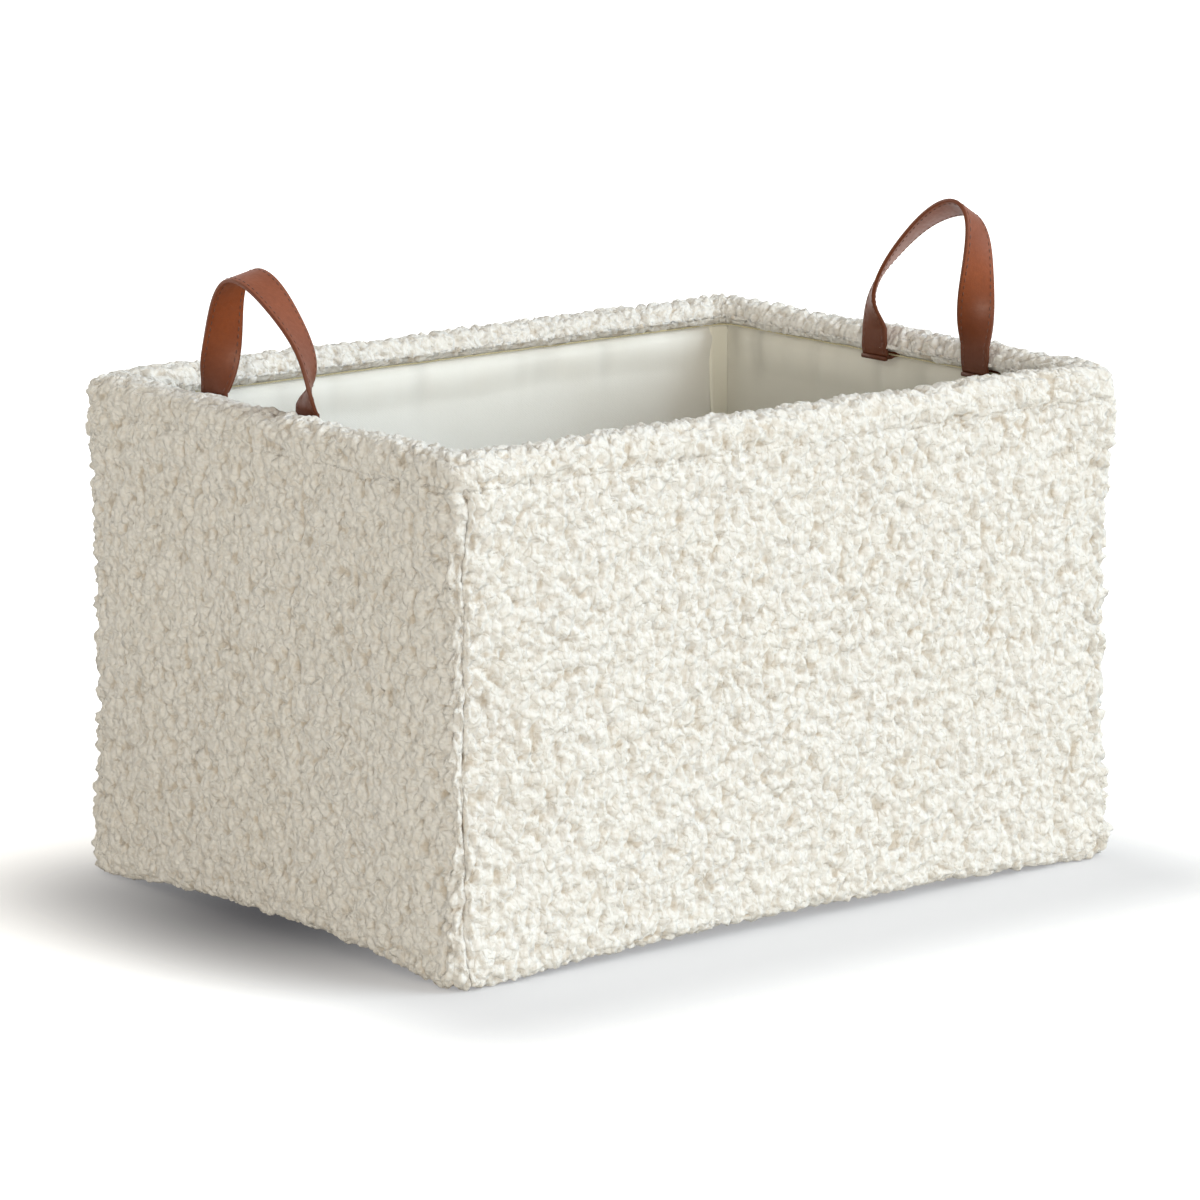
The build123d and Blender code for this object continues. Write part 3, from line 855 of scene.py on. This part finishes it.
# ---- straps ----------------------------------------------------------------------------------
def guided(points, count):
    """A smooth curve drawn toward the points, from the first one to the last."""
    points = np.array([2 * np.array(points[0]) - points[1], *points, 2 * np.array(points[-1]) - points[-2]])
    at = np.linspace(0, len(points) - 3, count)
    span = np.minimum(at.astype(int), len(points) - 4)
    f = (at - span)[:, None]
    pull = ((1 - f) ** 3, 3 * f ** 3 - 6 * f ** 2 + 4, -3 * f ** 3 + 3 * f ** 2 + 3 * f + 1, f ** 3)
    return sum(p * points[span + k] for k, p in enumerate(pull)) / 6


STRAP_STEPS = 201
STITCH_LINE = STRAP_WIDTH / 2 - 2.3  # distance of both stitch lines from the middle of a strap


def strap_line(side):
    """Middle line of a strap from foot to foot, its width and face directions, and distances along it."""
    sign = SIDES[side]
    start_x = LENGTH / 2 - STRAP_MIDDLE
    middle = -sign * HANDLE_SHIFT
    curve = guided(GUIDES[side], STRAP_STEPS)
    loop = np.stack([sign * (start_x + curve[:, 2]), middle + curve[:, 0], LOOP_BOTTOM + curve[:, 1]], axis=1)
    foot_z = np.linspace(CUFF_BOTTOM - 0.1, LOOP_BOTTOM, 12)[:-1]
    tuck = 0.9 * (1 - ease((foot_z - CUFF_BOTTOM + 1.0) / 6.0))
    low = np.stack([sign * (start_x + tuck), np.full_like(foot_z, middle + FEET_SPACING / 2), foot_z], axis=1)
    high = low[::-1].copy()
    high[:, 1] = middle - FEET_SPACING / 2
    line = np.concatenate([low, loop, high])
    near = GUIDES[side][0][3] * ease((foot_z - CUFF_BOTTOM) / (LOOP_BOTTOM - CUFF_BOTTOM))
    turned = np.radians(np.concatenate([near, curve[:, 3], near[::-1]]))
    # even spacing, then directions
    at = distances(line)
    even = np.linspace(0, at[-1], STRAP_STEPS)
    line = between(even, at, line)
    turned = np.interp(even, at, turned)
    ahead = np.gradient(line, axis=0)
    for _ in range(3):
        ahead[1:-1] = (ahead[:-2] + 2 * ahead[1:-1] + ahead[2:]) / 4
    ahead = units(ahead)
    inward = units(np.cross([1.0, 0.0, 0.0], ahead))
    wide = inward * np.cos(turned)[:, None] + np.array([-sign, 0.0, 0.0]) * np.sin(turned)[:, None]
    wide = units(wide - ahead * (wide * ahead).sum(1)[:, None])
    return line, wide, np.cross(ahead, wide), even


def strap_stitches(name, line, wide, face, at):
    """Separate stitches along both edges and on both faces of a strap."""
    pitch, length, radius = 3.6, 2.4, 0.34
    points, faces = [], []
    arch = np.sin(np.linspace(0.12, math.pi - 0.12, 5))
    for sign_w in (-1, 1):
        for sign_f in (-1, 1):
            for start in np.arange(1.2, at[-1] - 3.0, pitch):
                p, w, f = (between(np.linspace(start, start + length, 5), at, each) for each in (line, wide, face))
                base = len(points)
                for m in range(5):
                    r = radius * (0.55 + 0.45 * arch[m])
                    lift = STRAP_THICKNESS / 2 - 0.28 + 0.22 * arch[m]
                    for angle in np.radians((0, 60, 120, 180, 240, 300)):
                        points.append(p[m] + w[m] * (sign_w * STITCH_LINE + r * math.cos(angle))
                                      + f[m] * sign_f * (lift + r * math.sin(angle)))
                for m in range(4):
                    for q in range(6):
                        a, b = base + 6 * m + q, base + 6 * m + (q + 1) % 6
                        quad = (a, b, b + 6, a + 6)
                        faces.append(quad if sign_w * sign_f > 0 else quad[::-1])
    stitches = make(name, points, [np.array(faces)])
    wear(stitches, leather_thread)
    return stitches


def strap(side):
    """One strap with rounded, painted edges, and its edge stitching on both faces."""
    line, wide, face, at = strap_line(side)
    outline = rounded(STRAP_WIDTH, STRAP_THICKNESS - 0.1, 0.75, 5)
    dense = []
    for a, b in zip(outline, np.roll(outline, -1, axis=0)):
        steps = max(int(np.linalg.norm(b - a) / 2.0), 1)
        dense += [a + (b - a) * i / steps for i in range(steps)]
    outline = np.array(dense)
    rim = ease((np.abs(outline[:, 0]) - (STRAP_WIDTH / 2 - 0.9)) / 0.6)
    groove = 0.12 * bell(np.abs(outline[:, 0]) - STITCH_LINE, 0.5)
    thick = outline[:, 1] - np.sign(outline[:, 1]) * groove
    sections = line[:, None] + wide[:, None] * outline[None, :, :1] + face[:, None] * thick[None, :, None]
    # painted shade, strongest at the feet and gone by the top of the loop
    low = 1 - ease((line[:, 2] - 244.0) / 52.0)
    piece = swept(f"{side}_strap", sections, rim=np.broadcast_to(rim, sections.shape[:2]),
                  low=np.broadcast_to(low[:, None], sections.shape[:2]))
    wear(piece, leather)

    stitches = strap_stitches(f"{side}_strap_stitching", line, wide, face, at)
    for each in (piece, stitches):
        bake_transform(each)
    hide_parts(f"{side}_handle_feet", f"{side}_handle_loop")


def strap_tails(side):
    """The sewn ends: from the foot under the edge of the cuff, then up behind it."""
    sign = SIDES[side]
    outline = rounded(STRAP_WIDTH, STRAP_THICKNESS - 0.1, 0.7, 4)
    top = CUFF_BOTTOM - 0.3 - STRAP_THICKNESS / 2
    outer, foot = CUFF_OFFSET + STRAP_THICKNESS / 2, STRAP_MIDDLE + 0.9
    path = [(outer, CUFF_BOTTOM + 8.0), (outer, top + 1.6)] + arc(outer + 1.6, top + 1.6, 1.6, 180, 270, 6)
    path += [(foot, top)]
    path, _ = along(path, 0.9)
    ahead = units(np.gradient(path, axis=0))
    # narrower where it runs from the cuff to the foot, so that the foot hides it
    narrow = 1 - 0.34 * ease((path[:, 0] - 15.2) / 2.0) + 0.32 * ease((path[:, 0] - 20.4) / 2.2)
    for number, foot_y in enumerate((-FEET_SPACING / 2, FEET_SPACING / 2)):
        y = -sign * HANDLE_SHIFT + foot_y
        sections = []
        for (offset, z), (da, dz), share in zip(path, ahead, narrow):
            x = sign * (LENGTH / 2 - offset - outline[:, 1] * dz)
            sections.append(np.stack([x, y + outline[:, 0] * share, z - outline[:, 1] * da], axis=1))
        sections = np.array(sections)
        rim = np.broadcast_to(ease((np.abs(outline[:, 0]) - (STRAP_WIDTH / 2 - 0.9)) / 0.6), sections.shape[:2])
        # the sewn ends take the full painted shade of the feet
        piece = swept(f"{side}_strap_end_{number + 1}", sections if sign > 0 else sections[:, ::-1],
                      rim=rim, low=np.ones(sections.shape[:2]))
        wear(piece, leather)
        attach(piece, "bin")
        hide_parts(f"{side}_handle_tails")


for side in SIDES:
    strap(side)
    strap_tails(side)

for name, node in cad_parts.items():
    if name.startswith("board"):
        for k in range(len(node.material_slots)):
            node.material_slots[k].link = "OBJECT"
            node.material_slots[k].material = grey_board


# ---- cuff seam ---------------------------------------------------------------------------------
def cuff_stitching():
    """The overlocked thread that shows between the cuff and the lining."""
    radius, pitch = 0.42, 1.1
    count = int(AROUND / pitch)
    s = np.arange(count) * AROUND / count
    wander = 0.25 * noise(s, s * 0, 4.0, 700) + 0.3 * noise(s, s * 0, 14.0, 701)
    place, out = plan(s, CUFF_FACE - 4.6 + wander * 0.6)
    zigzag = 0.22 * np.where(np.arange(count) % 2 == 0, 1, -1)
    angles = np.radians(np.arange(0, 360, 60))
    sections = np.empty((count, len(angles), 3))
    sections[..., :2] = place[:, None] - out[:, None] * (radius * np.cos(angles) + zigzag[:, None])[..., None]
    sections[..., 2] = (CUFF_BOTTOM + 0.1 + wander * 0.5)[:, None] + radius * np.sin(angles)
    piece = swept("cuff_seam_thread", sections, closed=True)
    wear(piece, seam_thread)
    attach(piece, "bin")


cuff_stitching()


# ---- floor, light, camera -------------------------------------------------------------------------
def floor():
    """A white floor with a painted shadow to the left of the bin and painted shade round it. It throws back less
    light than it shows.
    """
    bpy.ops.mesh.primitive_plane_add(size=30.0, location=(0, 0, -0.0002))
    piece = bpy.context.object
    piece.name = "floor"
    n = Nodes("studio_floor")
    n.set(Roughness=0.9, Specular_IOR_Level=0.0)
    # painted shadow: a dark patch on the floor to the left of the bin
    spread = n.vector("MULTIPLY", n.vector("SUBTRACT", n.place, (-0.19, 0.02, 0.0)), (1.0 / 0.135, 1.0 / 0.20, 0.0))
    painted_shadow_left = n.smooth_span(n.vector("LENGTH", spread), 1.0)
    shown = n.mix(painted_shadow_left, (0.225, 0.225, 0.235), (0.98, 0.983, 0.99))
    # painted shade: the floor darkens toward the bin's footprint, most at its front and left
    from_middle = n.vector("ABSOLUTE", n.vector("ADD", n.place, (0.01, 0.045, 0.0)))
    past = n.vector("MAXIMUM", n.vector("SUBTRACT", from_middle, (0.20, 0.142, 1.0)), (0.0, 0.0, 0.0))
    painted_shade_round_bin = n.smooth_span(n.vector("LENGTH", past), 0.15)
    shown = n.mix(painted_shade_round_bin, n.mix(1.0, shown, (0.525, 0.525, 0.535), "MULTIPLY"), shown)
    seen = n.add("ShaderNodeLightPath").outputs
    rays = n.math("MAXIMUM", seen["Is Camera Ray"], seen["Is Glossy Ray"])
    rays = n.math("MAXIMUM", rays, seen["Is Transmission Ray"])
    n.finish(n.mix(rays, (0.62, 0.60, 0.56), shown))
    n.link(shown, n.shader.inputs["Emission Color"])
    n.link(n.math("MULTIPLY", rays, 0.62), n.shader.inputs["Emission Strength"])
    wear(piece, n.material)


floor()

def surround():
    """A soft warm light from all round, which shows as white."""
    world = bpy.data.worlds.new("studio")
    bpy.context.scene.world = world
    world.use_nodes = True
    nodes, links = world.node_tree.nodes, world.node_tree.links
    nodes.clear()
    choose = nodes.new("ShaderNodeMixShader")
    for k, colour, strength in ((1, (1.0, 0.94, 0.81, 1), 0.42), (2, (1, 1, 1, 1), 1.0)):
        light = nodes.new("ShaderNodeBackground")
        light.inputs["Color"].default_value = colour
        light.inputs["Strength"].default_value = strength
        links.new(light.outputs[0], choose.inputs[k])
    path = nodes.new("ShaderNodeLightPath")
    rays = path.outputs["Is Camera Ray"]
    for kind in ("Is Glossy Ray", "Is Transmission Ray"):
        most = nodes.new("ShaderNodeMath")
        most.operation = "MAXIMUM"
        links.new(rays, most.inputs[0])
        links.new(path.outputs[kind], most.inputs[1])
        rays = most.outputs[0]
    links.new(rays, choose.inputs[0])
    links.new(choose.outputs[0], nodes.new("ShaderNodeOutputWorld").inputs["Surface"])


surround()


def sun(name, toward, strength, angle, colour):
    """A soft light that shines from the direction toward."""
    lamp = bpy.data.lights.new(name, "SUN")
    lamp.energy, lamp.angle, lamp.color = strength, math.radians(angle), colour
    holder = bpy.data.objects.new(name, lamp)
    holder.rotation_euler = Vector(toward).to_track_quat("Z", "Y").to_euler()
    bpy.context.scene.collection.objects.link(holder)


sun("overhead", (0.42, -0.30, 1.0), 0.45, 26, (0.97, 0.985, 1.0))
sun("key", (0.95, -1.0, 0.70), 2.2, 45, (0.83, 0.94, 1.0))
sun("side", (-0.8, -1.0, 0.12), 1.42, 16, (1.0, 0.945, 0.83))
sun("back", (-0.15, 1.0, 0.25), 0.75, 40, (1.0, 0.97, 0.92))

# the photo's view, as fitted to the bin's edges
azimuth, elevation = math.radians(-39.06), math.radians(11.71)
level = math.cos(elevation)
back = Vector((math.sin(azimuth) * level, -math.cos(azimuth) * level, math.sin(elevation)))
right = Vector((math.cos(azimuth), math.sin(azimuth), 0))
turn = Matrix((right, back.cross(right), back)).transposed().to_4x4()
camera = bpy.data.objects.new("camera", bpy.data.cameras.new("camera"))
camera.data.sensor_width = 36.0
camera.data.lens = 175.32
camera.data.clip_end = 60.0
camera.matrix_world = Matrix.Translation((-1.79738, -2.21243, 0.72570)) @ turn
bpy.context.scene.collection.objects.link(camera)
bpy.context.scene.camera = camera
bpy.context.scene.view_settings.view_transform = "Standard"
